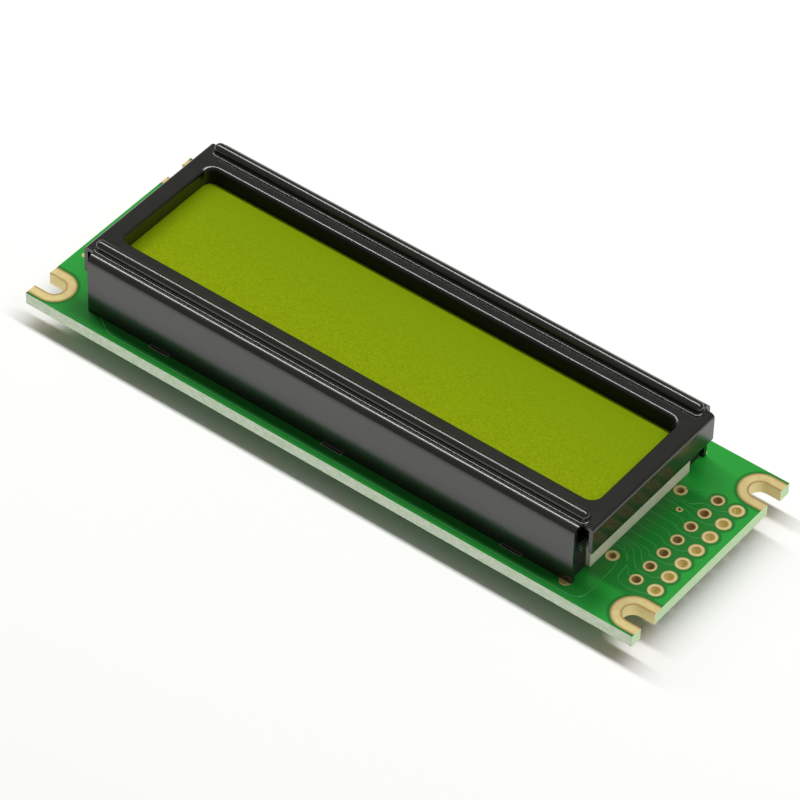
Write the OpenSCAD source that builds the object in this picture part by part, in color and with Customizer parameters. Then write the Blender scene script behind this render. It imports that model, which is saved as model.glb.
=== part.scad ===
// Character LCD module: a reflective glass cell under a folded steel bezel on a circuit board.
// Own frame: the origin is under the middle of the board, X runs towards the header pads,
// Y towards the back, and +Z up. The module rests on the two flat packages under its board.

/* [Window] */
// Length of the window over the display
window_l = 66; // [58:0.5:80]
// Width of the window over the display
window_w = 15.7; // [14:0.1:20]
// How far the middle of the window and its beads lies behind the middle of the bezel
window_shift = 0.15; // [0:0.05:0.3]

/* [Board] */
// Length of board that stands out past the bezel's plain end
plain_margin = 5.95; // [5:0.05:9]
// Length of board that stands out past the bezel's header end
header_margin = 8.15; // [7.6:0.05:10]
// Width of board that stands out past each long wall of the bezel
side_margin = 2.2; // [2:0.1:4]
// Thickness of the circuit board
board_t = 1.6; // [1.2:0.1:2]
// Length of a mounting slot from the short edge to its round end
slot_depth = 3.15; // [2.5:0.05:3.5]
// Width of a mounting slot
slot_w = 2.6; // [2:0.1:2.8]
// Distance from a long edge to the middle of a mounting slot
slot_edge = 2.9; // [2.8:0.05:3.2]
// Width of the bare metal band round a mounting slot
slot_band = 1.3; // [0.8:0.05:1.35]
// Thickness of the plated metal on the board
plate_t = 0.06; // [0.04:0.01:0.1]

/* [Header] */
// Number of header holes in a row
header_count = 7; // [5:1:7]
// Distance between neighbouring header holes
header_pitch = 2.54; // [2:0.01:2.54]
// Distance from the header's short edge to the outer row
header_edge = 2.05; // [1.8:0.05:2.5]
// Diameter of a header hole inside its plating
header_hole_d = 1; // [0.8:0.05:1.1]
// Diameter of a pad in the inner row
inner_pad_d = 1.75; // [1.6:0.05:2]
// Diameter of a pad in the outer row
outer_pad_d = 2; // [1.8:0.05:2.1]

/* [Bezel] */
// Height of the bezel's face above the board
bezel_h = 8.25; // [8:0.05:9]
// Thickness of the bezel's sheet
sheet_t = 0.5; // [0.4:0.05:0.6]
// Outer radius of the folds along the long walls
wall_bend = 1; // [0.8:0.1:1.4]
// Outer radius of the folds at the short flanges
flange_bend = 0.6; // [0.55:0.05:0.9]
// Height of the short flanges
flange_h = 3.75; // [3:0.05:4]
// Length of a corner relief along the bezel
relief_l = 1.5; // [1.2:0.1:2]
// Depth of a corner relief across the bezel
relief_w = 1.3; // [1.2:0.1:1.5]
// Radius of the window's corners
window_r = 1.3; // [1:0.1:2]
// Radius of the folded edge round the window
lip_bend = 0.55; // [0.5:0.05:0.7]
// Width of a stiffening bead
bead_w = 1.4; // [1.3:0.1:1.6]
// Height of a stiffening bead above the bezel's face
bead_h = 1.1; // [0.9:0.1:1.3]
// Radius of the hollow fold at the foot of a bead
bead_foot = 0.25; // [0.15:0.05:0.25]
// Distance from a long wall's face to the middle of its bead, with the window in the middle
bead_inset = 2.05; // [2:0.05:2.3]
// Distance from the bezel's end to the end of a bead
bead_end = 1.2; // [1.2:0.1:2]
// Width of a fixing tab
tab_w = 2.4; // [2:0.1:3]
// Distance between neighbouring fixing tabs
tab_pitch = 24.7; // [20:0.1:27]

/* [Display cell] */
// How far the glass reaches past each end of the window
glass_lap = 1.5; // [1.2:0.1:3]
// How far the front glass reaches past each side of the window, over a connector
front_glass_lap = 4; // [3.8:0.1:4.5]
// Width of the bare contact ledge along each side of the front glass
ledge_w = 2.75; // [2.5:0.05:3]
// Play between the glass and the bezel's long walls
glass_side_play = 0.2; // [0.1:0.05:0.4]
// Play between the glass and the bezel's short flanges
glass_end_play = 0.45; // [0.1:0.05:0.5]
// Thickness of each glass plate
glass_t = 1.1; // [0.7:0.1:1.1]
// Thickness of the crystal layer, drawn thicker than a real one
cell_gap = 0.06; // [0.04:0.01:0.1]
// Width of the seal round the crystal layer
seal_w = 1; // [0.8:0.1:1.2]
// Thickness of the front polariser
polariser_t = 0.2; // [0.15:0.05:0.25]
// Thickness of the rear polariser with its reflector
reflector_t = 0.25; // [0.2:0.05:0.3]
// How far the rear polariser stops short of the rear glass all round
reflector_inset = 0.5; // [0.3:0.05:0.8]
// How far the seal stops short of the ends of the glass
seal_inset = 0.5; // [0.3:0.05:0.8]
// How far the front polariser reaches under the lip of the window
polariser_lap = 1; // [0.7:0.05:1.1]

/* [Frame and connectors] */
// How far the white frame stops short of the glass at each end
frame_inset = 0.5; // [0.5:0.05:1.5]
// How far the white frame stands out past the rear glass at each side
frame_lap = 0.15; // [0:0.05:0.2]
// Width of the white frame's rim
frame_rim = 2.2; // [1.8:0.1:3]
// Number of cross ribs in the white frame
frame_ribs = 3; // [2:1:5]
// Width of an elastomer connector
strip_w = 2.2; // [1.8:0.1:2.3]
// How far an elastomer connector stops short of the glass at each end
strip_inset = 1; // [0.8:0.1:1.5]
// Distance between neighbouring contact lands
land_pitch = 1.8; // [1.4:0.1:2.4]
// Width of a contact land along the board
land_w = 0.9; // [0.6:0.1:1]

/* [Rear parts] */
// Height of the flat packages from the board to their tops
package_h = 2.65; // [2.4:0.05:2.9]
// Length of a flat package's body
package_l = 20; // [19:0.5:20.5]
// Width of a flat package's body
package_w = 14; // [13:0.5:14.5]
// Distance from a package body to the ends of its leads
lead_reach = 1.95; // [1.6:0.05:2.1]
// Distance from the middle of the board to the middle of each flat package
package_offset = 16; // [15.6:0.2:18]
// Number of leads along each long side of the controller
controller_long = 24; // [16:1:24]
// Number of leads along each short side of the controller
controller_short = 16; // [10:1:16]
// Number of leads along each long side of the driver
driver_long = 18; // [14:1:20]
// Number of leads along each short side of the driver
driver_short = 12; // [8:1:14]
// Number of chip resistors
resistor_count = 5; // [3:1:6]
// Distance between neighbouring chip resistors
resistor_pitch = 3; // [2.6:0.2:3.4]

/* [Hidden] */
$fn = 64;
eps = 0.01;
// Everything is laid out from the window: glass round it, bezel round that, and board round the bezel.
glass_l = window_l + 2 * glass_lap;
front_glass_w = window_w + 2 * front_glass_lap;
rear_glass_w = front_glass_w - 2 * ledge_w;
bezel_l = glass_l + 2 * (glass_end_play + sheet_t);
bezel_w = front_glass_w + 2 * (glass_side_play + sheet_t);
bezel_offset = (header_margin - plain_margin) / 2;
board_l = bezel_l + plain_margin + header_margin;
board_w = bezel_w + 2 * side_margin;
board_z = package_h;
board_top = board_z + board_t;
face_z = board_top + bezel_h;
slot_y = board_w / 2 - slot_edge;
slot_r = slot_w / 2;
band_r = slot_r + slot_band;
outer_row_x = board_l / 2 - header_edge;
inner_row_x = outer_row_x - header_pitch;
wall_l = bezel_l - 2 * relief_l;
end_w = bezel_w - 2 * relief_w;
cut = 1;
polariser_l = window_l + 2 * polariser_lap;
polariser_w = window_w + 2 * polariser_lap;
frame_l = glass_l - 2 * frame_inset;
frame_w = rear_glass_w + 2 * frame_lap;
strip_l = glass_l - 2 * strip_inset;
seal_l = glass_l - 2 * seal_inset;
// The cell is stacked down from the lip of the window to the white frame.
lip_depth = 2.3;
polariser_z = face_z - lip_depth - polariser_t;
front_glass_z = polariser_z - glass_t;
cell_z = front_glass_z - cell_gap;
rear_glass_z = cell_z - glass_t;
reflector_z = rear_glass_z - reflector_t;
frame_h = reflector_z - board_top;
frame_play = 0.23;
strip_y = frame_w / 2 + frame_play + strip_w / 2;
strip_h = front_glass_z - board_top;
bead_y = bezel_w / 2 - bead_inset;
bead_l = bezel_l - 2 * bead_end;
tab_play = 0.1;
tab_slot_l = tab_w + 2 * tab_play;
tab_slot_w = sheet_t + 2 * tab_play;
tab_rim = 0.15;
land_inset = 0.25;
tab_foot = 0.9;
tab_y = bezel_w / 2 - sheet_t / 2;
lamp_reach = 4.1;
lamp_x = inner_row_x - lamp_reach;
lamp_y = 2.5 * header_pitch;
lamp_pad_d = 1.6;
corner_hole_inset = 0.8;
corner_hole_x = wall_l / 2 - bezel_offset - corner_hole_inset;
corner_hole_y = bezel_w / 2;
small_hole_d = 0.9;
corner_pad_d = 1.5;
via_d = 0.4;
via_pad_d = 0.8;
plating_wall = 0.1;
via_places = [[inner_row_x - 2.5, 3.9], [1.2 - board_l / 2, -5.7]];
lead_t = 0.15;
lead_w_share = 0.4;
// The leads share a side evenly and leave the same margin at both of its ends.
controller_row = 19.2;
driver_row = 18;
controller_pitch = controller_row / controller_long;
driver_pitch = driver_row / driver_long;
knee_share = 0.35;
heel_share = 0.6;
package_taper = 0.35;
standoff = 0.1;
chip_l = 3.2;
chip_w = 1.6;
chip_h = 0.6;
chip_end = 0.5;
chip_lip = 0.05;
capacitor_h = 1.3;
resistor_gap = 1.05;
resistor_x = package_offset + package_l / 2 + lead_reach + resistor_gap + chip_l / 2;
capacitor_edge = 6.5;
capacitor_x = board_l / 2 - capacitor_edge;

// ---- shared forms ----

// A flat plate centred on X and Y, its lower face at z.
module plate(l, w, t, z) translate([-l / 2, -w / 2, z]) cube([l, w, t]);

// A plate with round corners of radius r.
module round_plate(l, w, t, z, r) {
    plate(l - 2 * r, w, t, z);
    plate(l, w - 2 * r, t, z);
    for (x = [-1, 1], y = [-1, 1])
        translate([x * (l / 2 - r), y * (w / 2 - r), z]) cylinder(h = t, r = r);
}

// A plated hole: a barrel through the board with a flat ring flush with each face.
module plated_hole(x, y, hole_d, pad_d) {
    translate([x, y, 0]) difference() {
        union() {
            translate([0, 0, board_z]) cylinder(h = board_t, d = hole_d + 2 * plating_wall);
            translate([0, 0, board_z]) cylinder(h = plate_t, d = pad_d);
            translate([0, 0, board_top - plate_t]) cylinder(h = plate_t, d = pad_d);
        }
        translate([0, 0, board_z - cut]) cylinder(h = board_t + 2 * cut, d = hole_d);
    }
}

// The room that a plated hole takes in the board.
module plated_room(x, y, hole_d, pad_d) {
    translate([x, y, board_z - cut]) cylinder(h = board_t + 2 * cut, d = hole_d + 2 * plating_wall);
    translate([x, y, board_z - cut]) cylinder(h = cut + plate_t, d = pad_d);
    translate([x, y, board_top - plate_t]) cylinder(h = plate_t + cut, d = pad_d);
}

module header_row(x) {
    for (i = [0 : header_count - 1])
        translate([x, (i - (header_count - 1) / 2) * header_pitch, 0]) children();
}

// The open slot at a corner, with its round end inwards: the shape grown by g.
module slot_shape(g, z, t) {
    translate([-slot_depth + slot_r, 0, z]) cylinder(h = t, r = slot_r + g);
    translate([-slot_depth + slot_r, -slot_r - g, z]) cube([slot_depth - slot_r, slot_w + 2 * g, t]);
}

// Places its children at the four corner slots.
module at_slots() {
    for (x = [0, 1], y = [-1, 1])
        mirror([x, 0, 0]) translate([board_l / 2, y * slot_y, 0]) children();
}

module slot_rim() {
    difference() {
        union() {
            slot_shape(plating_wall, board_z, board_t);
            slot_shape(slot_band, board_z, plate_t);
            slot_shape(slot_band, board_top - plate_t, plate_t);
        }
        slot_shape(0, board_z - cut, board_t + 2 * cut);
        translate([0, -slot_w, board_z - cut]) cube([slot_w, 2 * slot_w, board_t + 2 * cut]);
    }
}

module slot_room() {
    slot_shape(plating_wall, board_z - cut, board_t + 2 * cut);
    slot_shape(slot_band, board_z - cut, cut + plate_t);
    slot_shape(slot_band, board_top - plate_t, plate_t + cut);
    translate([-eps, -slot_r - plating_wall, board_z - cut])
        cube([cut, slot_w + 2 * plating_wall, board_t + 2 * cut]);
}

module at_tabs() {
    for (i = [-1 : 1], y = [-1, 1])
        translate([i * tab_pitch, y * tab_y, 0]) mirror([0, y > 0 ? 0 : 1, 0]) children();
}

module at_lamp_holes() {
    for (y = [-1, 1]) translate([lamp_x, y * lamp_y, 0]) children();
}

module at_corner_holes() {
    for (y = [-1, 1]) translate([corner_hole_x, y * corner_hole_y, 0]) children();
}

// ---- board and its plating ----

module board() {
    color([0.05, 0.45, 0.18]) difference() {
        plate(board_l, board_w, board_t, board_z);
        at_slots() slot_room();
        header_row(inner_row_x) plated_room(0, 0, header_hole_d, inner_pad_d);
        header_row(outer_row_x) plated_room(0, 0, header_hole_d, outer_pad_d);
        at_lamp_holes() plated_room(0, 0, small_hole_d, lamp_pad_d);
        at_corner_holes() plated_room(0, 0, small_hole_d, corner_pad_d);
        for (v = via_places) plated_room(v[0], v[1], via_d, via_pad_d);
        at_tabs() tab_slot_room();
        at_lands() land(cut);
    }
}

module inner_pads() {
    color([0.85, 0.68, 0.35]) header_row(inner_row_x) plated_hole(0, 0, header_hole_d, inner_pad_d);
}

module outer_pads() {
    color([0.85, 0.68, 0.35]) header_row(outer_row_x) plated_hole(0, 0, header_hole_d, outer_pad_d);
}

module slot_plating() {
    color([0.85, 0.68, 0.35]) at_slots() slot_rim();
}

module lamp_hole_plating() {
    color([0.85, 0.68, 0.35]) at_lamp_holes() plated_hole(0, 0, small_hole_d, lamp_pad_d);
}

module corner_hole_plating() {
    color([0.85, 0.68, 0.35]) at_corner_holes() plated_hole(0, 0, small_hole_d, corner_pad_d);
}

module via_plating() {
    color([0.85, 0.68, 0.35]) for (v = via_places) plated_hole(v[0], v[1], via_d, via_pad_d);
}

// The slot for a fixing tab, with a flat rim on both faces.
module tab_slot_room() {
    plate(tab_slot_l + 2 * plating_wall, tab_slot_w + 2 * plating_wall, board_t + 2 * cut, board_z - cut);
    plate(tab_slot_l + 2 * tab_rim, tab_slot_w + 2 * tab_rim, cut + plate_t, board_z - cut);
    plate(tab_slot_l + 2 * tab_rim, tab_slot_w + 2 * tab_rim, plate_t + cut, board_top - plate_t);
}

module tab_slot_plating() {
    color([0.8, 0.8, 0.78]) at_tabs() difference() {
        union() {
            plate(tab_slot_l + 2 * plating_wall, tab_slot_w + 2 * plating_wall, board_t, board_z);
            plate(tab_slot_l + 2 * tab_rim, tab_slot_w + 2 * tab_rim, plate_t, board_z);
            plate(tab_slot_l + 2 * tab_rim, tab_slot_w + 2 * tab_rim, plate_t, board_top - plate_t);
        }
        plate(tab_slot_l, tab_slot_w, board_t + 2 * cut, board_z - cut);
    }
}

// The lands under the elastomer connectors, one for each group of electrodes.
module at_lands() {
    for (i = [0 : floor((strip_l - land_w) / land_pitch)], y = [-1, 1])
        translate([i * land_pitch - (strip_l - land_w) / 2 - bezel_offset, y * strip_y, 0]) children();
}

module land(rise) plate(land_w, strip_w - 2 * land_inset, plate_t + rise, board_top - plate_t);

module contact_lands() {
    color([0.85, 0.68, 0.35]) at_lands() land(0);
}

// ---- bezel ----

// A bar along X with its upper edges folded to radius r, from z up to the bezel's face.
module folded_bar(l, w, r, z, top) {
    plate(l, w, top - r - z, z);
    plate(l, w - 2 * r, top - z, z);
    for (y = [-1, 1])
        translate([-l / 2, y * (w / 2 - r), top - r]) rotate([0, 90, 0]) cylinder(h = l, r = r);
}

module end_bar(l, w, r, z, top) {
    rotate([0, 0, 90]) folded_bar(w, l, r, z, top);
}

// One long bead with round ends, its top at the given height.
module bead(l, w, z, top) {
    plate(l - w, w, top - w / 2 - z, z);
    translate([-(l - w) / 2, 0, top - w / 2]) rotate([0, 90, 0]) cylinder(h = l - w, d = w);
    for (x = [-1, 1]) {
        translate([x * (l - w) / 2, 0, z]) cylinder(h = top - w / 2 - z, d = w);
        translate([x * (l - w) / 2, 0, top - w / 2]) sphere(d = w);
    }
}

// The hollow fold of radius r that runs round the foot of a bead, on the face at z.
module foot_fold(l, w, z, r) {
    for (y = [-1, 1]) mirror([0, y > 0 ? 0 : 1, 0]) translate([0, w / 2, z - eps]) difference() {
        translate([-(l - w) / 2, -eps, 0]) cube([l - w, r + eps, r + eps]);
        translate([-l / 2, r, r + eps]) rotate([0, 90, 0]) cylinder(h = l, r = r);
    }
    for (x = [-1, 1]) mirror([x > 0 ? 0 : 1, 0, 0]) translate([(l - w) / 2, 0, z - eps])
        rotate_extrude() difference() {
            translate([w / 2 - eps, 0]) square([r + eps, r + eps]);
            translate([w / 2 + r, r + eps]) circle(r = r);
        }
}

// Places its children at the two beads.
module at_beads() {
    for (y = [-1, 1]) translate([0, y * bead_y + window_shift, 0]) children();
}

// What is cut away to round the face's edge into the window.
module lip_rounding() {
    r = lip_bend;
    for (y = [-1, 1]) mirror([0, y > 0 ? 1 : 0, 0]) translate([0, -window_w / 2 - r, face_z - r])
        difference() {
            translate([-window_l / 2 + window_r, 0, 0]) cube([window_l - 2 * window_r, r + cut, r + cut]);
            translate([-window_l / 2, 0, 0]) rotate([0, 90, 0]) cylinder(h = window_l, r = r);
        }
    for (x = [-1, 1]) mirror([x > 0 ? 1 : 0, 0, 0]) translate([-window_l / 2 - r, 0, face_z - r])
        difference() {
            translate([0, -window_w / 2 + window_r, 0]) cube([r + cut, window_w - 2 * window_r, r + cut]);
            translate([0, window_w / 2, 0]) rotate([90, 0, 0]) cylinder(h = window_w, r = r);
        }
    for (x = [-1, 1], y = [-1, 1])
        translate([x * (window_l / 2 - window_r), y * (window_w / 2 - window_r), face_z - r])
            rotate_extrude() difference() {
                square([window_r + r, r + cut]);
                translate([window_r + r, 0]) circle(r = r);
            }
}

// A tab goes down through its slot and its foot is bent flat under the board.
module tab() {
    plate(tab_w, sheet_t, board_top - board_z + sheet_t + eps, board_z - sheet_t);
    translate([-tab_w / 2, -sheet_t / 2 - tab_foot, board_z - sheet_t]) cube([tab_w, tab_foot + eps, sheet_t]);
}

module bezel() {
    color([0.06, 0.06, 0.06]) union() {
        translate([-bezel_offset, 0, 0]) difference() {
            union() {
                difference() {
                    union() {
                        folded_bar(wall_l, bezel_w, wall_bend, board_top, face_z);
                        end_bar(bezel_l, end_w, flange_bend, face_z - flange_h, face_z);
                        at_beads() {
                            bead(bead_l, bead_w, face_z - sheet_t, face_z + bead_h);
                            foot_fold(bead_l, bead_w, face_z, bead_foot);
                        }
                    }
                    folded_bar(wall_l + relief_l, bezel_w - 2 * sheet_t, wall_bend - sheet_t,
                        board_top - cut, face_z - sheet_t);
                    end_bar(bezel_l - 2 * sheet_t, end_w + relief_w, flange_bend - sheet_t,
                        board_top - cut, face_z - sheet_t);
                    at_beads() bead(bead_l - 2 * sheet_t, bead_w - 2 * sheet_t, face_z - 2 * sheet_t,
                        face_z + bead_h - sheet_t);
                }
                translate([0, window_shift, 0]) round_plate(window_l + 2 * sheet_t, window_w + 2 * sheet_t,
                    lip_depth, face_z - lip_depth, window_r + sheet_t);
            }
            translate([0, window_shift, 0]) {
                round_plate(window_l, window_w, lip_depth + 2 * cut, face_z - lip_depth - cut, window_r);
                lip_rounding();
            }
        }
        at_tabs() tab();
    }
}

// ---- display cell ----

module cell_plate(l, w, t, z) translate([-bezel_offset, 0, 0]) plate(l, w, t, z);

module reflector() {
    color([0.72, 0.75, 0.5]) cell_plate(glass_l - 2 * reflector_inset, rear_glass_w - 2 * reflector_inset, reflector_t, reflector_z);
}

module rear_glass() {
    color([0.7, 0.8, 0.6]) cell_plate(glass_l, rear_glass_w, glass_t, rear_glass_z);
}

module cell_seal() {
    color([0.6, 0.6, 0.5]) difference() {
        cell_plate(seal_l, rear_glass_w, cell_gap, cell_z);
        cell_plate(seal_l - 2 * seal_w, rear_glass_w - 2 * seal_w, cell_gap + 2 * cut, cell_z - cut);
    }
}

module crystal_layer() {
    color([0.6, 0.7, 0.2]) cell_plate(seal_l - 2 * seal_w, rear_glass_w - 2 * seal_w, cell_gap, cell_z);
}

module front_glass() {
    color([0.7, 0.8, 0.6]) cell_plate(glass_l, front_glass_w, glass_t, front_glass_z);
}

module front_polariser() {
    color([0.55, 0.65, 0.1]) translate([0, window_shift, 0])
        cell_plate(polariser_l, polariser_w, polariser_t, polariser_z);
}

// ---- frame and connectors ----

module white_frame() {
    rib_gap = (frame_l - frame_rim) / (frame_ribs + 1);
    color([0.9, 0.9, 0.85]) translate([-bezel_offset, 0, 0]) union() {
        difference() {
            plate(frame_l, frame_w, frame_h, board_top);
            plate(frame_l - 2 * frame_rim, frame_w - 2 * frame_rim, frame_h + 2 * cut, board_top - cut);
        }
        for (i = [1 : frame_ribs]) translate([i * rib_gap - (frame_l - frame_rim) / 2, 0, 0])
            plate(frame_rim, frame_w - frame_rim, frame_h, board_top);
    }
}

module strip() plate(strip_l, strip_w, strip_h, board_top);

module front_strip() {
    color([0.25, 0.2, 0.2]) translate([-bezel_offset, -strip_y, 0]) strip();
}

module back_strip() {
    color([0.25, 0.2, 0.2]) translate([-bezel_offset, strip_y, 0]) strip();
}

// ---- rear parts ----

// A moulded package: two tapered halves that meet where the leads come out.
module package_half(rise) {
    hull() {
        plate(package_l, package_w, lead_t / 2, 0);
        plate(package_l - 2 * package_taper, package_w - 2 * package_taper, eps, rise - eps);
    }
}

module package_body() {
    half = (package_h - standoff) / 2;
    translate([0, 0, half]) package_half(half);
    translate([0, 0, half]) mirror([0, 0, 1]) package_half(half);
}

// One gull-wing lead, from the package's side out to its foot on the board.
module lead(w) {
    top = package_h;
    mid = (package_h - standoff) / 2;
    knee = lead_reach * knee_share;
    heel = lead_reach * heel_share;
    translate([0, -w / 2, 0]) rotate([90, 0, 0]) mirror([0, 0, 1]) linear_extrude(height = w) polygon([
        [0, mid - lead_t / 2], [knee, mid - lead_t / 2], [heel, top - lead_t], [lead_reach, top - lead_t],
        [lead_reach, top], [heel - lead_t, top], [knee - lead_t, mid + lead_t / 2], [0, mid + lead_t / 2]]);
}

module lead_row(n, pitch) {
    for (i = [0 : n - 1]) translate([0, (i - (n - 1) / 2) * pitch, 0]) children();
}

module package_leads(long_n, short_n, pitch) {
    w = pitch * lead_w_share;
    for (a = [0, 180]) rotate([0, 0, a]) {
        translate([package_l / 2, 0, 0]) lead_row(short_n, pitch) lead(w);
        rotate([0, 0, 90]) translate([package_w / 2, 0, 0]) lead_row(long_n, pitch) lead(w);
    }
}

module controller_body() {
    color([0.1, 0.1, 0.1]) translate([-package_offset, 0, 0]) package_body();
}

module controller_leads() {
    color([0.75, 0.75, 0.75]) translate([-package_offset, 0, 0]) package_leads(controller_long, controller_short, controller_pitch);
}

module driver_body() {
    color([0.1, 0.1, 0.1]) translate([package_offset, 0, 0]) package_body();
}

module driver_leads() {
    color([0.75, 0.75, 0.75]) translate([package_offset, 0, 0]) package_leads(driver_long, driver_short, driver_pitch);
}

// Places its children at the chip resistors, which stand in a row beside the driver.
module at_resistors() {
    for (i = [0 : resistor_count - 1])
        translate([resistor_x, (i - (resistor_count - 1) / 2) * resistor_pitch, board_z - chip_h]) children();
}

module chip_body(h) plate(chip_l - 2 * chip_end, chip_w - 2 * chip_lip, h, 0);

module chip_ends(h) {
    for (x = [-1, 1]) translate([x * (chip_l - chip_end) / 2, 0, 0]) plate(chip_end, chip_w, h, 0);
}

module resistor_bodies() {
    color([0.12, 0.12, 0.14]) at_resistors() chip_body(chip_h);
}

module resistor_ends() {
    color([0.8, 0.8, 0.8]) at_resistors() chip_ends(chip_h);
}

module capacitor_body() {
    color([0.6, 0.5, 0.35]) translate([-capacitor_x, 0, board_z - capacitor_h]) chip_body(capacitor_h);
}

module capacitor_ends() {
    color([0.8, 0.8, 0.8]) translate([-capacitor_x, 0, board_z - capacitor_h]) chip_ends(capacitor_h);
}

board();
bezel();
white_frame();
reflector();
rear_glass();
cell_seal();
crystal_layer();
front_glass();
front_polariser();
front_strip();
back_strip();
contact_lands();
inner_pads();
outer_pads();
slot_plating();
lamp_hole_plating();
corner_hole_plating();
tab_slot_plating();
via_plating();
controller_body();
controller_leads();
driver_body();
driver_leads();
resistor_bodies();
resistor_ends();
capacitor_body();
capacitor_ends();
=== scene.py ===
"""Dresses a one-line character display module: lacquered bezel, glass cell and plated circuit board."""

import math

import bmesh
import bpy
from mathutils import Matrix, Vector


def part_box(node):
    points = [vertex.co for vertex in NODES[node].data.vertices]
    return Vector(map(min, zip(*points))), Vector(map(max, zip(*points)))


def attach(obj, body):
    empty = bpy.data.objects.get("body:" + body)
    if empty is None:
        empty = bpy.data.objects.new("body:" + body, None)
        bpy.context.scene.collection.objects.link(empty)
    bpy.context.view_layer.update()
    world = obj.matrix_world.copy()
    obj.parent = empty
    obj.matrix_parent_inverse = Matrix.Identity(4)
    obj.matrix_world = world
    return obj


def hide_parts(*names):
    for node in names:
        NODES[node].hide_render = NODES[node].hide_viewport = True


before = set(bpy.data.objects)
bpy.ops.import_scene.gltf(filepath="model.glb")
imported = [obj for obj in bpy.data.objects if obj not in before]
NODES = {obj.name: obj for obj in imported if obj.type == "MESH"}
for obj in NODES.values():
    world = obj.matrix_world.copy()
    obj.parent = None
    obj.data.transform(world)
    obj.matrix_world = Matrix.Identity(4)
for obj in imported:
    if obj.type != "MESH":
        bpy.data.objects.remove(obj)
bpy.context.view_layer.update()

bl_info = {
    "name": "Character display module",
    "version": (1, 0, 0),
    "blender": (4, 5, 0),
    "location": "View3D > Sidebar > Display module",
    "description": "Builds the fine pieces, finishes and stage of a one-line character display module",
    "category": "Object",
}

MM = 0.001
BOARD_LOW, BOARD_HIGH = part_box("board")
BOARD_TOP = BOARD_HIGH.z
FRAME_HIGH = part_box("white_frame")[1]


# ---- shader graph ----


class Sock:
    """A shader value that adds its Math nodes when it is used in an expression."""

    def __init__(self, graph, socket):
        self.graph = graph
        self.socket = socket

    def _math(self, operation, *values):
        return self.graph.add("ShaderNodeMath", {"operation": operation}, list(values))

    def __add__(self, other):
        return self._math("ADD", self, other)

    __radd__ = __add__

    def __sub__(self, other):
        return self._math("SUBTRACT", self, other)

    def __rsub__(self, other):
        return self._math("SUBTRACT", other, self)

    def __mul__(self, other):
        return self._math("MULTIPLY", self, other)

    __rmul__ = __mul__

    def __truediv__(self, other):
        return self._math("DIVIDE", self, other)

    def __pow__(self, other):
        return self._math("POWER", self, other)

    def __abs__(self):
        return self._math("ABSOLUTE", self)

    def at_least(self, floor):
        return self._math("MAXIMUM", self, floor)

    def folded(self, reach):
        """The way up to reach and back to nothing, again and again."""
        return self._math("PINGPONG", self, reach)

    def clamp(self):
        return self._math("MINIMUM", self.at_least(0.0), 1.0)

    def above(self, edge, soft=0.0):
        """1 where the value is over edge, 0 where it is under, with a soft step between."""
        if soft <= 0.0:
            return self._math("GREATER_THAN", self, edge)
        return ((self - (edge - soft / 2)) / soft).clamp()

    def below(self, edge, soft=0.0):
        return 1.0 - self.above(edge, soft)


def scaled(colour, factors):
    """A colour times one factor, or times a factor for each of its channels."""
    if isinstance(factors, float):
        factors = (factors,) * len(colour)
    return tuple(min(1.0, c * f) for c, f in zip(colour, factors))


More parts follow.
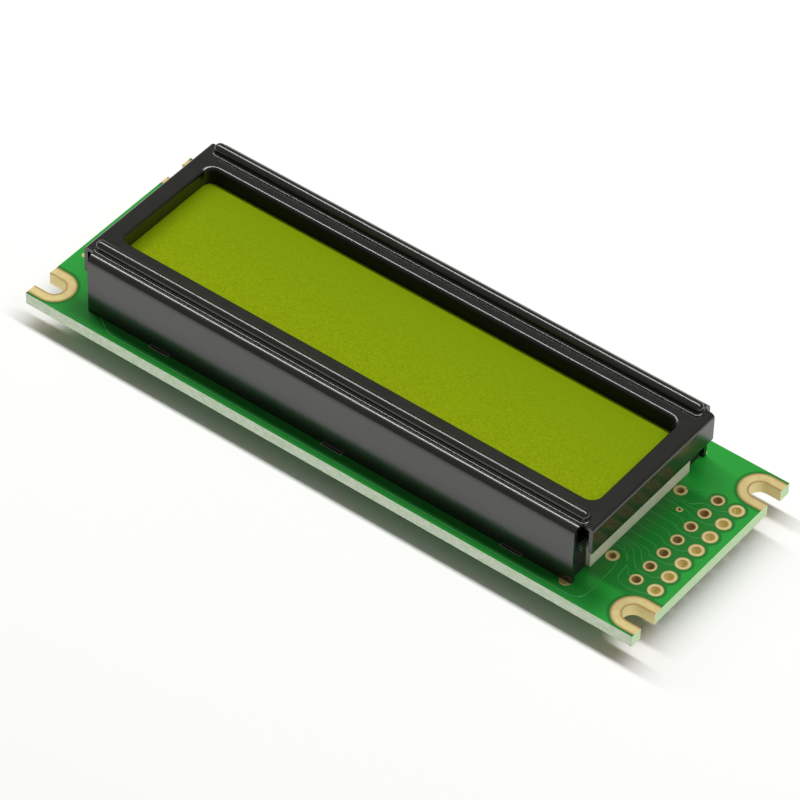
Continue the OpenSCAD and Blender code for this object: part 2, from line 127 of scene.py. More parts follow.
class Graph:
    """The node tree of one material."""

    def __init__(self, material):
        material.use_nodes = True
        self.tree = material.node_tree
        self.tree.nodes.clear()
        self.output = self.tree.nodes.new("ShaderNodeOutputMaterial")

    def _put(self, socket, value):
        if isinstance(value, Sock):
            self.tree.links.new(value.socket, socket)
        elif isinstance(value, (tuple, list)) and len(value) == 3 and len(socket.default_value) == 4:
            socket.default_value = (*value, 1.0)
        else:
            socket.default_value = value

    def add(self, kind, settings=None, values=None, out=0):
        """Adds a node: its settings first, then its sockets by place or by name, and returns one output."""
        node = self.tree.nodes.new(kind)
        for key, setting in (settings or {}).items():
            setattr(node, key, setting)
        if isinstance(values, dict):
            for key, value in values.items():
                self._put(node.inputs[key], value)
        else:
            for place, value in enumerate(values or []):
                if value is not None:
                    self._put(node.inputs[place], value)
        return Sock(self, node.outputs[out])

    def mix(self, factor, first, second):
        """Two colours mixed: the first where factor is 0, the second where it is 1."""
        node = self.tree.nodes.new("ShaderNodeMix")
        node.data_type = "RGBA"
        self._put(node.inputs[0], factor)
        self._put(node.inputs[6], first)
        self._put(node.inputs[7], second)
        return Sock(self, node.outputs[2])

    def shaded(self, factor, colour, low, high=1.0):
        """A colour that goes from low times itself, where factor is 0, to high times itself."""
        return self.mix(factor, scaled(colour, low), scaled(colour, high))

    def place(self):
        """The point in the object's own frame, in millimetres."""
        point = self.add("ShaderNodeTexCoord", out=3)
        values = {"Vector": point, "Scale": 1.0 / MM}
        return self.add("ShaderNodeVectorMath", {"operation": "SCALE"}, values)

    def axes(self, vector):
        node = self.add("ShaderNodeSeparateXYZ", values=[vector])
        return [Sock(self, node.socket.node.outputs[i]) for i in range(3)]

    def facing(self):
        """The components of the surface's own normal."""
        return self.axes(self.add("ShaderNodeNewGeometry", out=1))

    def noise(self, point, scale, detail=2.0, rough=0.5):
        """Noise with features about 1 / scale millimetres wide."""
        values = {"Vector": point, "Scale": scale, "Detail": detail, "Roughness": rough}
        return self.add("ShaderNodeTexNoise", values=values)

    def stretch(self, point, factors):
        return self.add("ShaderNodeVectorMath", {"operation": "MULTIPLY"}, [point, factors])

    def bump(self, height, depth, strength):
        """A relief in which a height of 1 stands for depth, in millimetres."""
        values = {"Height": height, "Distance": depth * MM, "Strength": strength}
        return self.add("ShaderNodeBump", values=values)

    def surface(self, **sockets):
        """Adds a principled shader and shows it. Its sockets are named with underscores for spaces."""
        values = {name.replace("_", " "): value for name, value in sockets.items()}
        shader = self.add("ShaderNodeBsdfPrincipled", values=values)
        self.tree.links.new(shader.socket, self.output.inputs[0])
        return shader

    def blend(self, factor, first, second):
        """Shows a mix of two shaders."""
        mixed = self.add("ShaderNodeMixShader", values=[factor, first, second])
        self.tree.links.new(mixed.socket, self.output.inputs[0])


MATERIALS = {}


def material(name):
    """Decorates a recipe, which fills a graph, so that its material is made once."""

    def wrap(recipe):
        def build(*args, **named):
            key = (name, args, tuple(named.items()))
            if key not in MATERIALS:
                made = bpy.data.materials.new(name)
                recipe(Graph(made), *args, **named)
                MATERIALS[key] = made
            return MATERIALS[key]

        return build

    return wrap


def dress(piece, *finishes):
    """Gives a piece its materials in the order of its slots."""
    slots = piece.data.materials
    for place, finish in enumerate(finishes):
        if place < len(slots):
            slots[place] = finish
        else:
            slots.append(finish)
    while len(slots) > len(finishes):
        slots.pop()


# ---- finishes ----


@material("bezel_lacquer")
def bezel_lacquer(g, colour, window_back):
    p = g.place()
    _, y, _ = g.axes(p)
    _, ny, _ = g.facing()
    cloud = g.noise(p, scale=0.35, detail=3.0)
    fine = g.noise(p, scale=9.0, detail=4.0, rough=0.6)
    tone = g.shaded((cloud - 0.35) * 1.6, colour, low=0.85, high=1.2)
    gloss = g.surface(
        Base_Color=tone,
        Roughness=(0.14 + 0.1 * cloud + 0.05 * fine).clamp(),
        Specular_IOR_Level=0.9,
        Normal=g.bump(fine, depth=0.001, strength=0.15),
    )
    # The far wall of the window is duller than the rest.
    dull = g.surface(Base_Color=tone, Roughness=(0.7 + 0.1 * fine).clamp(), Specular_IOR_Level=0.2)
    far_wall = abs(y - window_back).below(1.0) * ny.below(-0.5, soft=0.4)
    g.blend(far_wall, gloss, dull)


@material("display_film")
def display_film(g, colour, near_end):
    p = g.place()
    x, y, _ = g.axes(p)
    grain = g.noise(p, scale=3.6, detail=3.0, rough=0.75)
    blotch = g.noise(p, scale=0.09)
    tone = g.shaded((grain - 0.5) * 3.6 + 0.5, colour, low=0.8, high=1.14)
    tone = g.mix((blotch - 0.3) * 0.35, tone, scaled(colour, 1.14))
    # Painted shade: the film is darker near its left end, where the window's left wall shades it.
    tone = g.mix(x.below(near_end + 0.7, soft=3.0) * 0.75, tone, scaled(colour, 0.35))
    # The film turns greener and darker towards the far side of the window.
    tone = g.mix(y * 0.06 + 0.4, tone, scaled(colour, (0.76, 0.86, 1.0)))
    g.surface(
        Base_Color=tone,
        Roughness=0.3 + 0.1 * grain,
        Specular_IOR_Level=0.04,
        Normal=g.bump(grain, depth=0.01, strength=0.4),
    )


def lacquer_over_copper(g, p, layout, mask_colour, bare_and_shade_share):
    """The colour of the lacquer, with painted shade along the front edge and beside the display, and a mask
    of the laminate that is bare of copper, which takes in that painted shade along the front edge.
    """
    x, y, _ = g.axes(p)
    _, _, nz = g.facing()
    on_top = nz.above(0.5)
    cloud = g.noise(p, scale=0.12, detail=3.0)
    # Round the tracks at the header the lacquer lies on the bare laminate and is darker.
    fan = layout.fan
    bare = x.above(fan.left, soft=1.2) * x.below(fan.right, soft=0.5)
    bare = bare * y.above(fan.front, soft=0.8) * y.below(fan.back, soft=0.8)
    # Painted shade: the lacquer is nearly as dark in a strip along the front edge, where the bezel's front
    # wall shades the board; this strip joins the mask of bare laminate.
    end = layout.slot_x - 2.0
    strip = y.below(fan.front - 1.0, soft=2.0) * x.above(-end, soft=4.0) * x.below(end - 1.0, soft=3.0)
    bare = bare.at_least(strip * 0.9)
    # A narrow gap in the copper runs round each header pad and each corner slot.
    from_slot = layout.from_slots(x, y)
    gap = from_slot.above(layout.slot_r - 0.1) * from_slot.below(layout.slot_r + 0.35, soft=0.2)
    for row, away in layout.from_pads(x, y):
        gap = gap + away.above(row.pad_r - 0.1) * away.below(row.pad_r + 0.3, soft=0.15)
    bare = (bare * on_top + gap).clamp()
    dark = scaled(mask_colour, bare_and_shade_share)
    green = g.mix(bare, g.shaded((cloud - 0.3) * 1.4, mask_colour, low=0.88), dark)
    # Painted shade: beside the display, where the bezel's end shades the board, the lacquer is darker
    # still.
    beside = (x.below(fan.left + 0.9, soft=2.6) * x.above(fan.left - 1.0) * on_top * 0.6).clamp()
    beside = beside * y.above(fan.front, soft=2.0) * y.below(fan.back, soft=2.0)
    return g.mix(beside, green, scaled(dark, 0.3)), bare


def cut_laminate(g, p, laminate_colour, sawn_colour):
    """The colour of the glass fibre that the board's edges show in layers."""
    _, ny, _ = g.facing()
    layers = g.noise(g.stretch(p, (0.6, 0.6, 9.0)), scale=1.0, detail=3.0, rough=0.7)
    edge = g.shaded(layers, laminate_colour, low=0.78)
    # The long edges are whiter and more speckled than the short ones.
    speck = g.noise(g.stretch(p, (1.6, 1.6, 3.0)), scale=1.0, detail=3.0, rough=0.7)
    sawn = g.mix((speck - 0.3) * 2.4, scaled(laminate_colour, 0.8), sawn_colour)
    return g.mix(abs(ny).above(0.7), edge, sawn)


@material("board_lacquer")
def board_lacquer(g, mask_colour, bare_and_shade_share, laminate_colour, sawn_colour, layout):
    p = g.place()
    _, _, nz = g.facing()
    weave = g.noise(p, scale=2.5, detail=3.0, rough=0.6)
    green, bare = lacquer_over_copper(g, p, layout, mask_colour, bare_and_shade_share)
    edge = cut_laminate(g, p, laminate_colour, sawn_colour)
    side = abs(nz).below(0.5)
    relief = weave - 0.6 * bare * (1.0 - side)
    g.surface(
        Base_Color=g.mix(side, green, edge),
        Roughness=(0.2 + 0.4 * side + 0.1 * weave).clamp(),
        Normal=g.bump(relief, depth=0.012, strength=0.5),
    )


@material("track_lacquer")
def track_lacquer(g, colour):
    cloud = g.noise(g.place(), scale=1.2)
    g.surface(
        Base_Color=g.shaded(cloud, colour, low=0.85),
        Roughness=0.4,
        Specular_IOR_Level=0.35,
        Normal=g.bump(cloud, depth=0.004, strength=0.4),
    )


@material("gold_plate")
def gold_plate(g, colour, rim_colour, lap_colour, board_top, layout):
    p = g.place()
    x, y, z = g.axes(p)
    _, _, nz = g.facing()
    on_top = nz.above(0.5)
    cloud = g.noise(p, scale=1.6, detail=3.0)
    fine = g.noise(p, scale=24.0, detail=3.0, rough=0.6)
    tone = g.mix((cloud - 0.3) * 1.8, scaled(colour, (1.04, 0.84, 0.86)), colour)
    # A thin brown rim runs along the plating's outlines.
    from_slot = layout.from_slots(x, y)
    rim = from_slot.above(layout.slot_r - 0.2, soft=0.2) * from_slot.below(layout.slot_r + 0.1)
    rim = rim + from_slot.below(layout.slot_half + 0.2, soft=0.2) * from_slot.above(layout.slot_half - 0.3)
    lap = 0.0
    for row, away in layout.from_pads(x, y):
        rim = rim + away.below(layout.hole_r + 0.07, soft=0.1)
        lap = away.above(row.pad_r - 0.1, soft=0.14) * away.below(row.pad_r + 0.1) + lap
    tone = g.mix((rim * (0.5 + 0.5 * cloud) * on_top).clamp(), tone, rim_colour)
    # A dark green line runs round the rings of the header pads.
    tone = g.mix((lap * on_top).clamp(), tone, lap_colour)
    # Painted light: the plating is brighter on the walls of the slots and of the outer row's holes, where
    # light falls on them.
    wall = z.below(board_top - 0.05, soft=0.04) * abs(nz).below(0.5)
    tone = g.mix(wall, tone, scaled(colour, (1.5, 1.4, 1.6)))
    # The painted light on the walls of the inner row's holes is weaker and browner.
    inner, outer = layout.rows
    in_header = x.above(0.0) * abs(y).below(inner.half + 1.0)
    inner_row = x.below((inner.x + outer.x) / 2) * in_header
    tone = g.mix(wall * inner_row, tone, scaled(colour, (0.95, 0.75, 0.8)))
    g.surface(
        Base_Color=tone,
        Metallic=0.6 - 0.4 * wall,
        Roughness=(0.36 + 0.18 * cloud).clamp(),
        Normal=g.bump(fine, depth=0.004, strength=0.5),
    )


@material("tinned_metal")
def tinned_metal(g, colour):
    cloud = g.noise(g.place(), scale=2.2, detail=3.0)
    g.surface(
        Base_Color=g.shaded(cloud, colour, low=0.8),
        Metallic=0.9,
        Roughness=(0.25 + 0.25 * cloud).clamp(),
        Normal=g.bump(cloud, depth=0.01, strength=0.5),
    )


@material("moulded_plastic")
def moulded_plastic(g, colour, rough, mark=None):
    p = g.place()
    grain = g.noise(p, scale=14.0, detail=3.0, rough=0.6)
    cloud = g.noise(p, scale=0.5)
    height = grain
    rough = rough + 0.12 * grain
    if mark is not None:
        # A small round dent, smoother than the rest, marks the corner of the first lead.
        mark_x, mark_y, mark_r = mark
        x, y, _ = g.axes(p)
        dent = (((x - mark_x) ** 2.0 + (y - mark_y) ** 2.0) ** 0.5).below(mark_r, soft=0.12)
        height = grain - 6.0 * dent
        rough = rough - 0.2 * dent
    g.surface(
        Base_Color=g.shaded(cloud, colour, low=0.9),
        Roughness=rough.clamp(),
        Normal=g.bump(height, depth=0.008, strength=0.6),
    )


@material("clear_glass")
def clear_glass(g, colour):
    cloud = g.noise(g.place(), scale=0.6)
    g.surface(
        Base_Color=g.shaded(cloud, colour, low=0.95),
        Roughness=0.08 + 0.05 * cloud,
        Alpha=0.45,
        Specular_IOR_Level=0.6,
    )


@material("striped_elastomer")
def striped_elastomer(g, colour):
    p = g.place()
    x, _, _ = g.axes(p)
    band = g.add("ShaderNodeMath", {"operation": "SINE"}, [x * 18.0])
    grain = g.noise(p, scale=3.0)
    g.surface(
        Base_Color=g.shaded(band.above(0.0, soft=0.4), colour, low=0.6, high=1.5),
        Roughness=(0.55 + 0.1 * grain).clamp(),
        Normal=g.bump(grain, depth=0.01, strength=0.4),
    )


@material("white_plastic")
def white_plastic(g, colour):
    p = g.place()
    cloud = g.noise(p, scale=0.8, detail=3.0)
    grain = g.noise(p, scale=10.0, detail=3.0)
    g.surface(
        Base_Color=g.shaded(cloud, colour, low=0.93),
        Roughness=(0.5 + 0.1 * grain).clamp(),
        Normal=g.bump(grain, depth=0.008, strength=0.5),
    )


@material("table_top")
def table_top(g, colour):
    cloud = g.noise(g.place(), scale=0.01)
    g.surface(Base_Color=g.shaded(cloud, colour, low=0.99), Roughness=0.9)


# ---- header ----


class HeaderRow:
    """The places and sizes of one row of header pads, in millimetres."""

    def __init__(self, node):
        low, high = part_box(node)
        count = bpy.context.scene.board_settings.header_count
        self.x = (low.x + high.x) / 2 / MM
        self.pad_r = (high.x - low.x) / 2 / MM
        self.half = (high.y - low.y) / 2 / MM - self.pad_r
        self.pitch = 2 * self.half / (count - 1)
        self.ys = [i * self.pitch - self.half for i in range(count)]


class Area:
    """A rectangle on the board, in millimetres."""

    def __init__(self, left, right, front, back):
        self.left = left
        self.right = right
        self.front = front
        self.back = back


def area_of(node):
    """The area that a node's box covers."""
    low, high = (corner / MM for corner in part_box(node))
    return Area(low.x, high.x, low.y, high.y)


def evenly(low, high, count):
    """So many numbers from low to high, equally far apart."""
    return [low + (high - low) * i / (count - 1) for i in range(count)]


class Layout:
    """The places of the header pads and the corner slots, in millimetres, and the ways from them."""

    def __init__(self, look):
        self.rows = [HeaderRow("inner_pads"), HeaderRow("outer_pads")]
        self.hole_r = look.hole_width / MM / 2
        self.slot_half = look.slot_width / MM / 2
        self.slot_r = self.slot_half + look.slot_band / MM
        self.slot_x = BOARD_HIGH.x / MM - look.slot_depth / MM + self.slot_half
        self.slot_y = (BOARD_HIGH.y - look.slot_inset) / MM
        # Over this area the tracks fan out from the display to the header.
        self.fan = Area(
            left=(FRAME_HIGH.x + look.fan_gap) / MM,
            right=(BOARD_HIGH.x - look.fan_end) / MM,
            front=(BOARD_LOW.y + look.fan_front) / MM,
            back=(BOARD_HIGH.y - look.fan_back) / MM,
        )

    def from_pads(self, x, y):
        """Each row with the way from its nearest pad's middle."""
        row = self.rows[0]
        between = abs(y - row.half).folded(row.pitch / 2)
        past = abs(y).above(row.half)
        reach = between * (1.0 - past) + (abs(y) - row.half) * past
        return [(row, ((x - row.x) ** 2.0 + reach**2.0) ** 0.5) for row in self.rows]

    def from_slots(self, x, y):
        """The way from the nearest corner slot's middle line."""
        inward = (self.slot_x - abs(x)).at_least(0.0)
        return (inward**2.0 + (abs(y) - self.slot_y) ** 2.0) ** 0.5


# ---- mesh tools ----


def piece_from(bm, name, smooth_angle=None):
    """Turns a bmesh into a piece that rides on the module."""
    bmesh.ops.recalc_face_normals(bm, faces=bm.faces)
    mesh = bpy.data.meshes.new(name)
    bm.to_mesh(mesh)
    bm.free()
    piece = bpy.data.objects.new(name, mesh)
    bpy.context.scene.collection.objects.link(piece)
    if smooth_angle is not None:
        smooth(piece, smooth_angle)
    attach(piece, "root")
    return piece


def smooth(piece, angle):
    """Shades the bends smooth and keeps edges over the angle sharp, with flats that stay flat."""
    piece.data.shade_smooth()
    piece.data.set_sharp_from_angle(angle=angle)
    weigh = piece.modifiers.new("flat_faces", "WEIGHTED_NORMAL")
    weigh.keep_sharp = True
    weigh.weight = 100


def refined(node, name, angle=math.radians(32)):
    """A welded copy of a node with smooth bends, which stands for the node."""
    bm = bmesh.new()
    bm.from_mesh(NODES[node].data)
    bmesh.ops.remove_doubles(bm, verts=bm.verts, dist=0.002 * MM)
    bmesh.ops.dissolve_limit(bm, angle_limit=math.radians(0.5), verts=bm.verts, edges=bm.edges)
    piece = piece_from(bm, name, angle)
    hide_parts(node)
    return piece


# The cross-section of a track, in shares of its width and of its height.
RIBBON_PROFILE = ((-0.5, 0.0), (-0.3, 1.0), (0.3, 1.0), (0.5, 0.0))


def ribbon(bm, points, width, base, height):
    """A low flat-topped strip along a line of points, with mitred corners and sloping sides."""
    points = [Vector((x, y)) for x, y in points]
    rows = []
    for i, point in enumerate(points):
        ahead = (points[i + 1] - point).normalized() if i + 1 < len(points) else None
        behind = (point - points[i - 1]).normalized() if i else None
        ahead = ahead or behind
        behind = behind or ahead
        side = (ahead + behind).normalized()
        normal = Vector((-side.y, side.x))
        stretch = 1.0 / max(0.5, normal.dot(Vector((-ahead.y, ahead.x))))
        row = []
        for across, rise in RIBBON_PROFILE:
            at = point + normal * across * width * stretch
            row.append(bm.verts.new((at.x, at.y, base + height * rise)))
        rows.append(row)
    for a, b in zip(rows, rows[1:]):
        for k in range(3):
            bm.faces.new((a[k], a[k + 1], b[k + 1], b[k]))
        bm.faces.new((a[0], b[0], b[3], a[3]))
    bm.faces.new(rows[0])
    bm.faces.new(list(reversed(rows[-1])))


def rounded(points, radius, steps=4):
    """The line through points with each corner cut by an arc-like bend."""
    out = [points[0]]
    for before, corner, after in zip(points, points[1:], points[2:]):
        b, c, a = (Vector(p) for p in (before, corner, after))
        reach = min(radius, (b - c).length / 2, (a - c).length / 2)
        first = c + (b - c).normalized() * reach
        last = c + (a - c).normalized() * reach
        for k in range(steps + 1):
            t = k / steps
            out.append(tuple(first * (1 - t) ** 2 + c * 2 * t * (1 - t) + last * t**2))
    out.append(points[-1])
    return out


# ---- settings ----


def length(name, description, default):
    return bpy.props.FloatProperty(
        name=name, description=description, default=default, min=0.0, subtype="DISTANCE", unit="LENGTH"
    )


def share(name, description, default):
    return bpy.props.FloatProperty(name=name, description=description, default=default, min=0.0, max=1.0)


def shade(name, description, default):
    return bpy.props.FloatVectorProperty(
        name=name, description=description, default=default, size=3, min=0.0, max=1.0, subtype="COLOR"
    )


def spot(name, description, default):
    return bpy.props.FloatVectorProperty(
        name=name, description=description, default=default, size=3, subtype="TRANSLATION", unit="LENGTH"
    )


def bearing(name, description, degrees):
    return bpy.props.FloatProperty(
        name=name, description=description, default=math.radians(degrees), subtype="ANGLE", unit="ROTATION"
    )


class BezelSettings(bpy.types.PropertyGroup):
    """Finish of the bezel."""

    lacquer_colour: shade("Lacquer", "Colour of the bezel's lacquer", (0.007, 0.0072, 0.0062))
    film_lap: length("Film lap", "How far the display's film reaches under the window's edge", 1.0 * MM)


class CellSettings(bpy.types.PropertyGroup):
    """Finish of the display cell."""

    film_colour: shade("Film", "Colour of the display seen through its polariser", (0.222, 0.305, 0.002))
    glass_colour: shade("Glass", "Tint of the glass plates", (0.03, 0.06, 0.03))
    frame_colour: shade("Frame", "Colour of the white frame", (0.98, 0.98, 0.8))
    elastomer_colour: shade("Elastomer", "Colour of the connectors", (0.03, 0.028, 0.028))
    seal_colour: shade("Seal", "Colour of the seal between the plates", (0.35, 0.35, 0.28))


class BoardSettings(bpy.types.PropertyGroup):
    """Finish and tracks of the circuit board."""

    mask_colour: shade("Lacquer", "Colour of the green lacquer over copper", (0.018, 0.35, 0.04))
    # This share also sets how dark the painted shade is along the front edge and beside the display.
    bare_and_shade_share: share("Bare share", "How light the lacquer is where it lies on the bare laminate", 0.52)
    laminate_colour: shade("Laminate", "Colour of the cut edge", (0.72, 1.0, 0.6))
    sawn_colour: shade("Sawn laminate", "Colour of the specks on the long edges", (0.95, 0.98, 0.9))
    track_colour: shade("Tracks", "Colour of the tracks under the lacquer", (0.022, 0.26, 0.045))
    gold_colour: shade("Plating", "Colour of the gold plate", (0.66, 0.61, 0.27))
    rim_colour: shade("Rim", "Colour of the rim along the plating's outlines", (0.32, 0.17, 0.05))
    lap_colour: shade("Lap", "Colour of the line round the header pads", (0.05, 0.12, 0.02))
    tin_colour: shade("Tin", "Colour of tinned metal", (0.75, 0.75, 0.73))
    hole_width: length("Hole width", "Width of a plated header hole", 1.0 * MM)
    slot_inset: length("Slot inset", "How far a slot's middle lies from the board's long edge", 2.9 * MM)
    slot_depth: length("Slot depth", "Length of a mounting slot", 3.15 * MM)
    slot_width: length("Slot width", "Width of a mounting slot", 2.6 * MM)
    slot_band: length("Slot band", "Width of the bare metal round a mounting slot", 1.3 * MM)
    header_count: bpy.props.IntProperty(name="Header pads", description="Pads in a row", default=7, min=2)
    track_width: length("Track width", "Width of a thin track", 0.16 * MM)
    track_height: length("Track height", "Height of a track over the board", 0.035 * MM)
    fan_gap: length("Fan gap", "From the frame to the area of the header tracks", 0.2 * MM)
    fan_end: length("Fan end", "From that area to the board's right end", 1.4 * MM)
    fan_front: length("Fan front", "From that area to the board's front edge", 4.6 * MM)
    fan_back: length("Fan back", "From that area to the board's back edge", 7.6 * MM)


class RearSettings(bpy.types.PropertyGroup):
    """Finish of the parts under the board."""

    package_colour: shade("Package", "Colour of the flat packages", (0.028, 0.028, 0.03))
    resistor_colour: shade("Resistor", "Colour of the chip resistors", (0.02, 0.02, 0.025))
    capacitor_colour: shade("Capacitor", "Colour of the chip capacitor", (0.3, 0.2, 0.12))
    mark_inset: length("Mark inset", "From the dent's middle to the ends of the package", 1.6 * MM)
    mark_radius: length("Mark radius", "Radius of the dent in a package", 0.6 * MM)


class StageSettings(bpy.types.PropertyGroup):
    """Camera, lamp, room and table."""

    table_colour: shade("Table", "Colour of the table", (0.9, 0.9, 0.9))
    table_half: length("Table half", "Half the side of the table", 2.0)
    room_colour: shade("Room", "Colour of the light from all round", (1.0, 0.97, 0.87))
    room_strength: share("Room strength", "Strength of the light from all round", 0.22)
    tube_place: spot("Tube place", "Where the middle of the lamp hangs", (-0.2, 0.117, 0.65))
    tube_length: length("Tube length", "Length of the lamp", 1.6)
    tube_width: length("Tube width", "Width of the lamp", 0.09)
    tube_power: bpy.props.FloatProperty(
        name="Tube power", description="Power of the lamp", default=7.4, min=0.0, unit="POWER"
    )
    lens: bpy.props.FloatProperty(
        name="Lens", description="Focal length", default=231.9, min=20.0, unit="CAMERA"
    )
    camera_place: spot("Camera place", "Where the camera stands", (0.245215, -0.330263, 0.406819))
    azimuth: bearing("Azimuth", "Which way the camera stands, from the x axis round", -53.394)
    elevation: bearing("Elevation", "How steeply the camera looks down", 44.534)
    roll: bearing("Roll", "How far the camera is turned about its own line of sight", 1.583)


# ---- pieces ----


class MODULE_OT_bezel(bpy.types.Operator):
    """Dress the folded bezel in its lacquer"""

    bl_idname = "module.bezel"
    bl_label = "Bezel"

    def execute(self, context):
        look = context.scene.bezel_settings
        piece = refined("bezel", "bezel_shell")
        # The far wall of the window stands over the far edge of the film's visible part.
        window_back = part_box("front_polariser")[1].y / MM - look.film_lap / MM
        dress(piece, bezel_lacquer(tuple(look.lacquer_colour), window_back))
        return {"FINISHED"}


class MODULE_OT_display(bpy.types.Operator):
    """Dress the glass cell, the white frame and the connectors"""

    bl_idname = "module.display"
    bl_label = "Display cell"

    def execute(self, context):
        look = context.scene.cell_settings
        glass = clear_glass(tuple(look.glass_colour))
        for node in ("front_glass", "rear_glass"):
            dress(NODES[node], glass)
        film_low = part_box("front_polariser")[0]
        lap = context.scene.bezel_settings.film_lap
        film = display_film(tuple(look.film_colour), (film_low.x + lap) / MM)
        for node in ("front_polariser", "crystal_layer", "reflector"):
            dress(NODES[node], film)
        dress(NODES["cell_seal"], moulded_plastic(tuple(look.seal_colour), rough=0.5))
        dress(NODES["white_frame"], white_plastic(tuple(look.frame_colour)))
        elastomer = striped_elastomer(tuple(look.elastomer_colour))
        for node in ("front_strip", "back_strip"):
            dress(NODES[node], elastomer)
        return {"FINISHED"}


class MODULE_OT_board(bpy.types.Operator):
    """Dress the circuit board and its plating"""

    bl_idname = "module.board"
    bl_label = "Circuit board"

    def execute(self, context):
        look = context.scene.board_settings
        layout = Layout(look)
        lacquer = board_lacquer(
            mask_colour=tuple(look.mask_colour),
            bare_and_shade_share=look.bare_and_shade_share,
            laminate_colour=tuple(look.laminate_colour),
            sawn_colour=tuple(look.sawn_colour),
            layout=layout,
        )
        dress(NODES["board"], lacquer)
        gold = gold_plate(
            colour=tuple(look.gold_colour),
            rim_colour=tuple(look.rim_colour),
            lap_colour=tuple(look.lap_colour),
            board_top=BOARD_TOP / MM,
            layout=layout,
        )
        plated = ("inner_pads", "outer_pads", "slot_plating", "lamp_hole_plating")
        for node in (*plated, "corner_hole_plating", "via_plating", "contact_lands"):
            dress(NODES[node], gold)
        dress(NODES["tab_slot_plating"], tinned_metal(tuple(look.tin_colour)))
        return {"FINISHED"}


class MODULE_OT_tracks(bpy.types.Operator):
    """Lay the copper tracks that show through the lacquer"""

    bl_idname = "module.tracks"
    bl_label = "Tracks"

    def execute(self, context):
        look = context.scene.board_settings
        inner = HeaderRow("inner_pads")
        outer = HeaderRow("outer_pads")
        lamp = area_of("lamp_hole_plating")
        start_x = FRAME_HIGH.x / MM
        crowd_y = inner.ys[0] + 3.0
        lines = self.fan_lines(inner, outer, lamp, (start_x, crowd_y))
        lines.append(self.loop_line(inner, outer, (start_x, crowd_y)))
        lines += self.lamp_lines(inner, lamp)
        self.lay("tracks_top", lines, look.track_width, BOARD_TOP, look.track_height)
        lines = self.rear_lines(inner)
        self.lay("tracks_bottom", lines, 1.5 * look.track_width, BOARD_LOW.z, -look.track_height)
        return {"FINISHED"}

    def fan_lines(self, inner, outer, lamp, start):
        """The tracks to the pads, which turn off one after the other from a crowd beside the display.

        They run straight to the inner row, and through the gaps of the inner row to the outer row.
        """
        start_x, crowd_y = start
        bend_x = inner.x - inner.pad_r - 0.2
        # From one track to the next in the crowd, and how steeply they turn off.
        step = 0.36
        lean = 1.17
        last = len(inner.ys) - 1
        # The crowd passes in front of the lamp's back hole.
        pass_y = lamp.back - (lamp.right - lamp.left) - 0.25
        lines = []
        for i, y in enumerate(inner.ys):
            for order, target in ((2 * i + 1, y), (2 * i, y - inner.pitch / 2)):
                to_outer = target != y
                if (to_outer and i == 0) or (not to_outer and i == last):
                    continue
                leave_y = max(target + 0.45, crowd_y + step * order)
                leave_y = min(leave_y, pass_y - step * (2 * last - order))
                turn_x = bend_x - abs(leave_y - target) / lean
                line = [(start_x, leave_y), (turn_x, leave_y), (bend_x, target)]
                if to_outer:
                    line.append((outer.x - 1.4, target))
                    line.append((outer.x - 0.65 * outer.pad_r, y - 0.7 * outer.pad_r))
                else:
                    line.append((inner.x - inner.pad_r + 0.05, target))
                lines.append((line, 0.5))
        return lines

    def loop_line(self, inner, outer, start):
        """The track to the first pad of the outer row, round the first pad of the inner row."""
        start_x, crowd_y = start
        first_y = inner.ys[0]
        loop = [
            (start_x, crowd_y - 0.1),
            (inner.x - 2.9, crowd_y - 0.4),
            (inner.x - 2.0, first_y + 0.9),
            (inner.x - 1.9, first_y - 1.1),
            (inner.x - 0.4, first_y - 1.7),
            (outer.x - 0.8, first_y - 1.2),
            (outer.x - 0.1, first_y - 0.95 * outer.pad_r),
        ]
        return loop, 0.7

    def lamp_lines(self, inner, lamp):
        """The tracks from the lamp's two holes."""
        # One runs from the front hole round the board, inside its front edge.
        edge_y = BOARD_LOW.y / MM + 0.75
        left = BOARD_LOW.x / MM
        round_board = [
            (lamp.right - 0.1, lamp.front + 0.5),
            (lamp.right + 0.35, lamp.front - 0.3),
            (lamp.right + 0.4, edge_y + 0.9),
            (lamp.right - 0.6, edge_y),
            (left + 11.6, edge_y),
            (left + 9.9, edge_y + 1.1),
            (left + 6.7, edge_y + 3.2),
        ]
        # The other joins the back hole to the last pad of the inner row.
        lamp_out = [
            (lamp.right - 0.5, lamp.back - 0.2),
            (lamp.right + 0.8, inner.ys[-1]),
            (inner.x - inner.pad_r + 0.05, inner.ys[-1]),
        ]
        return [(round_board, 0.8), (lamp_out, 0.4)]

    def rear_lines(self, header):
        """The tracks under the board, between the packages, the resistors and the header."""
        controller = area_of("controller_leads")
        driver = area_of("driver_leads")
        resistors = area_of("resistor_ends")
        capacitor = area_of("capacitor_ends")
        # Each track ends this far under the leads that it reaches.
        under = 0.4
        lines = []
        for y in evenly(controller.front + 4.2, controller.back - 4.2, 12):
            lines.append(([(controller.right - under, y), (driver.left + under, y * 0.9)], 0.4))
        # The outer tracks lie this far inside the ends of the row of resistors.
        inset = 0.625
        chip_ys = evenly(resistors.front + inset, resistors.back - inset, 5)
        for y, pad_y in zip(chip_ys, header.ys[1:-1]):
            lines.append(([(driver.right - under, y), (resistors.left + under, y)], 0.4))
            out = [(resistors.right - under, y), (resistors.right + 1.0, y), (header.x - 3.0, pad_y)]
            out.append((header.x - 0.9 * header.pad_r, pad_y))
            lines.append((out, 0.6))
        for place, y in enumerate(evenly(capacitor.front + 0.3, capacitor.back - 0.3, 2)):
            far = controller.front + 6.0 + 7.0 * place
            line = [(capacitor.right - 0.2, y), (capacitor.right + 1.5, y)]
            line += [(controller.left - 1.5, far), (controller.left + under, far)]
            lines.append((line, 0.6))
        return lines + self.long_lines(controller)

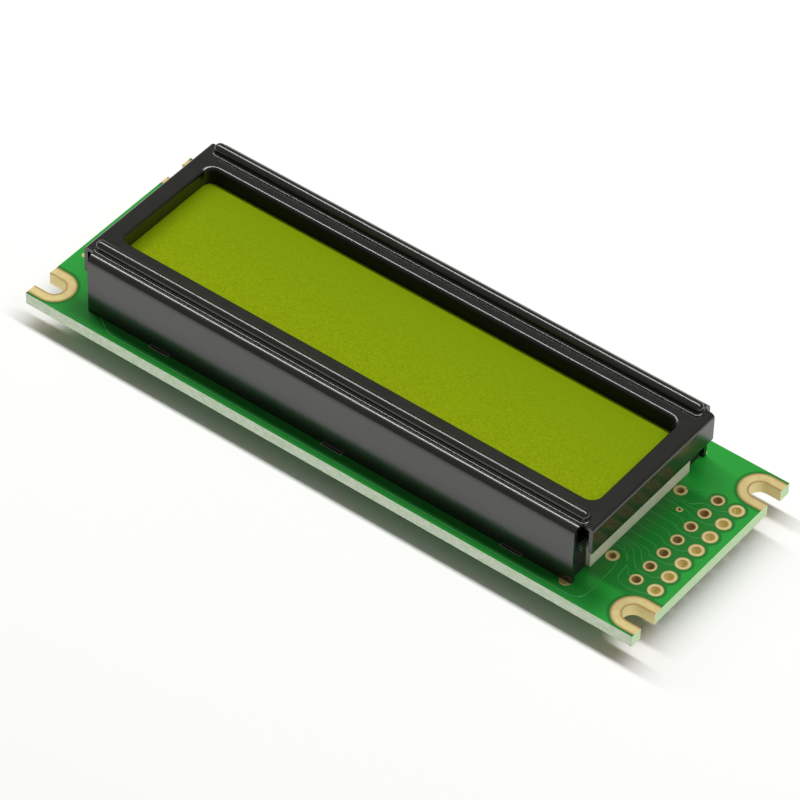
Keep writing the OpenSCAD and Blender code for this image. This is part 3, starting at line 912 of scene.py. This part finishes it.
    def long_lines(self, controller):
        """The long tracks under the board, round the packages and inside the board's edges."""
        hole_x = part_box("corner_hole_plating")[1].x / MM
        lines = []
        for side in (-1, 1):
            for place in range(3):
                y = side * (BOARD_HIGH.y / MM - 0.7 - 0.4 * place)
                start_x = controller.left + 2.0 + 2.0 * place
                end_x = hole_x - 3.0 - 0.5 * place
                lines.append(([(start_x, y), (end_x, y), (end_x + 1.2, y - side * 1.3)], 0.8))
        return lines

    def lay(self, name, lines, width, base, height):
        """Makes one piece of all the lines, each with the radius of its bends."""
        bm = bmesh.new()
        for line, bend in lines:
            ribbon(bm, [(x * MM, y * MM) for x, y in rounded(line, bend)], width, base, height)
        look = bpy.context.scene.board_settings
        piece = piece_from(bm, name, math.radians(50))
        dress(piece, track_lacquer(tuple(look.track_colour)))


class MODULE_OT_rear(bpy.types.Operator):
    """Dress the parts under the board"""

    bl_idname = "module.rear"
    bl_label = "Rear parts"

    def execute(self, context):
        look = context.scene.rear_settings
        tin = tinned_metal(tuple(context.scene.board_settings.tin_colour))
        for node in ("controller_body", "driver_body"):
            low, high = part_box(node)
            mark_x = (low.x + look.mark_inset) / MM
            mark_y = (high.y - look.mark_inset) / MM
            mark = (mark_x, mark_y, look.mark_radius / MM)
            dress(NODES[node], moulded_plastic(tuple(look.package_colour), rough=0.45, mark=mark))
        for node in ("controller_leads", "driver_leads", "resistor_ends", "capacitor_ends"):
            dress(NODES[node], tin)
        dress(NODES["resistor_bodies"], moulded_plastic(tuple(look.resistor_colour), rough=0.25))
        dress(NODES["capacitor_body"], moulded_plastic(tuple(look.capacitor_colour), rough=0.5))
        return {"FINISHED"}


class MODULE_OT_stage(bpy.types.Operator):
    """Set the table, the lamp and the camera"""

    bl_idname = "module.stage"
    bl_label = "Stage"

    def execute(self, context):
        look = context.scene.stage_settings
        context.scene.view_settings.view_transform = "Standard"
        self.table(look)
        self.room(look)
        self.tube(look)
        self.camera(look)
        return {"FINISHED"}

    def table(self, look):
        bm = bmesh.new()
        bmesh.ops.create_grid(bm, x_segments=8, y_segments=8, size=look.table_half)
        mesh = bpy.data.meshes.new("table")
        bm.to_mesh(mesh)
        bm.free()
        table = bpy.data.objects.new("table", mesh)
        bpy.context.scene.collection.objects.link(table)
        dress(table, table_top(tuple(look.table_colour)))

    def room(self, look):
        """Lights the scene evenly from all round."""
        world = bpy.data.worlds.new("soft_room")
        bpy.context.scene.world = world
        world.use_nodes = True
        back = world.node_tree.nodes["Background"]
        back.inputs["Color"].default_value = (*look.room_colour, 1.0)
        back.inputs["Strength"].default_value = look.room_strength

    def tube(self, look):
        """Hangs a long lamp over the module, a little behind it, that draws fine lines along the folds."""
        light = bpy.data.lights.new("long_tube", "AREA")
        light.shape = "RECTANGLE"
        light.size = look.tube_length
        light.size_y = look.tube_width
        light.energy = look.tube_power
        lamp = bpy.data.objects.new("long_tube", light)
        lamp.location = look.tube_place
        bpy.context.scene.collection.objects.link(lamp)

    def camera(self, look):
        camera = bpy.data.objects.new("camera", bpy.data.cameras.new("camera"))
        bpy.context.scene.collection.objects.link(camera)
        camera.data.sensor_width = 36.0
        camera.data.lens = look.lens
        camera.data.clip_start = 0.01
        camera.data.clip_end = 10.0
        level = math.cos(look.elevation)
        back_axis = Vector(
            (math.cos(look.azimuth) * level, math.sin(look.azimuth) * level, math.sin(look.elevation))
        )
        right = Vector((0.0, 0.0, 1.0)).cross(back_axis).normalized()
        up = back_axis.cross(right)
        turned_right = math.cos(look.roll) * right + math.sin(look.roll) * up
        turned_up = -math.sin(look.roll) * right + math.cos(look.roll) * up
        turn = Matrix((turned_right, turned_up, back_axis)).transposed().to_4x4()
        camera.matrix_world = Matrix.Translation(look.camera_place) @ turn
        bpy.context.scene.camera = camera


class MODULE_PT_panel(bpy.types.Panel):
    """Lists the settings and the pieces of the display module"""

    bl_idname = "MODULE_PT_panel"
    bl_label = "Display module"
    bl_space_type = "VIEW_3D"
    bl_region_type = "UI"
    bl_category = "Display module"

    def draw(self, context):
        for name, _ in SETTINGS:
            box = self.layout.box()
            settings = getattr(context.scene, name)
            for key in settings.__annotations__:
                box.prop(settings, key)
        for operator in OPERATORS:
            self.layout.operator(operator.bl_idname)


SETTINGS = [
    ("bezel_settings", BezelSettings),
    ("cell_settings", CellSettings),
    ("board_settings", BoardSettings),
    ("rear_settings", RearSettings),
    ("stage_settings", StageSettings),
]
OPERATORS = [
    MODULE_OT_bezel,
    MODULE_OT_display,
    MODULE_OT_board,
    MODULE_OT_tracks,
    MODULE_OT_rear,
    MODULE_OT_stage,
]


def register():
    for name, group in SETTINGS:
        bpy.utils.register_class(group)
        setattr(bpy.types.Scene, name, bpy.props.PointerProperty(type=group))
    for operator in (*OPERATORS, MODULE_PT_panel):
        bpy.utils.register_class(operator)


def unregister():
    for operator in reversed((*OPERATORS, MODULE_PT_panel)):
        bpy.utils.unregister_class(operator)
    for name, group in reversed(SETTINGS):
        delattr(bpy.types.Scene, name)
        bpy.utils.unregister_class(group)


def main():
    register()
    bpy.ops.module.bezel()
    bpy.ops.module.display()
    bpy.ops.module.board()
    bpy.ops.module.tracks()
    bpy.ops.module.rear()
    bpy.ops.module.stage()


if __name__ == "__main__":
    main()
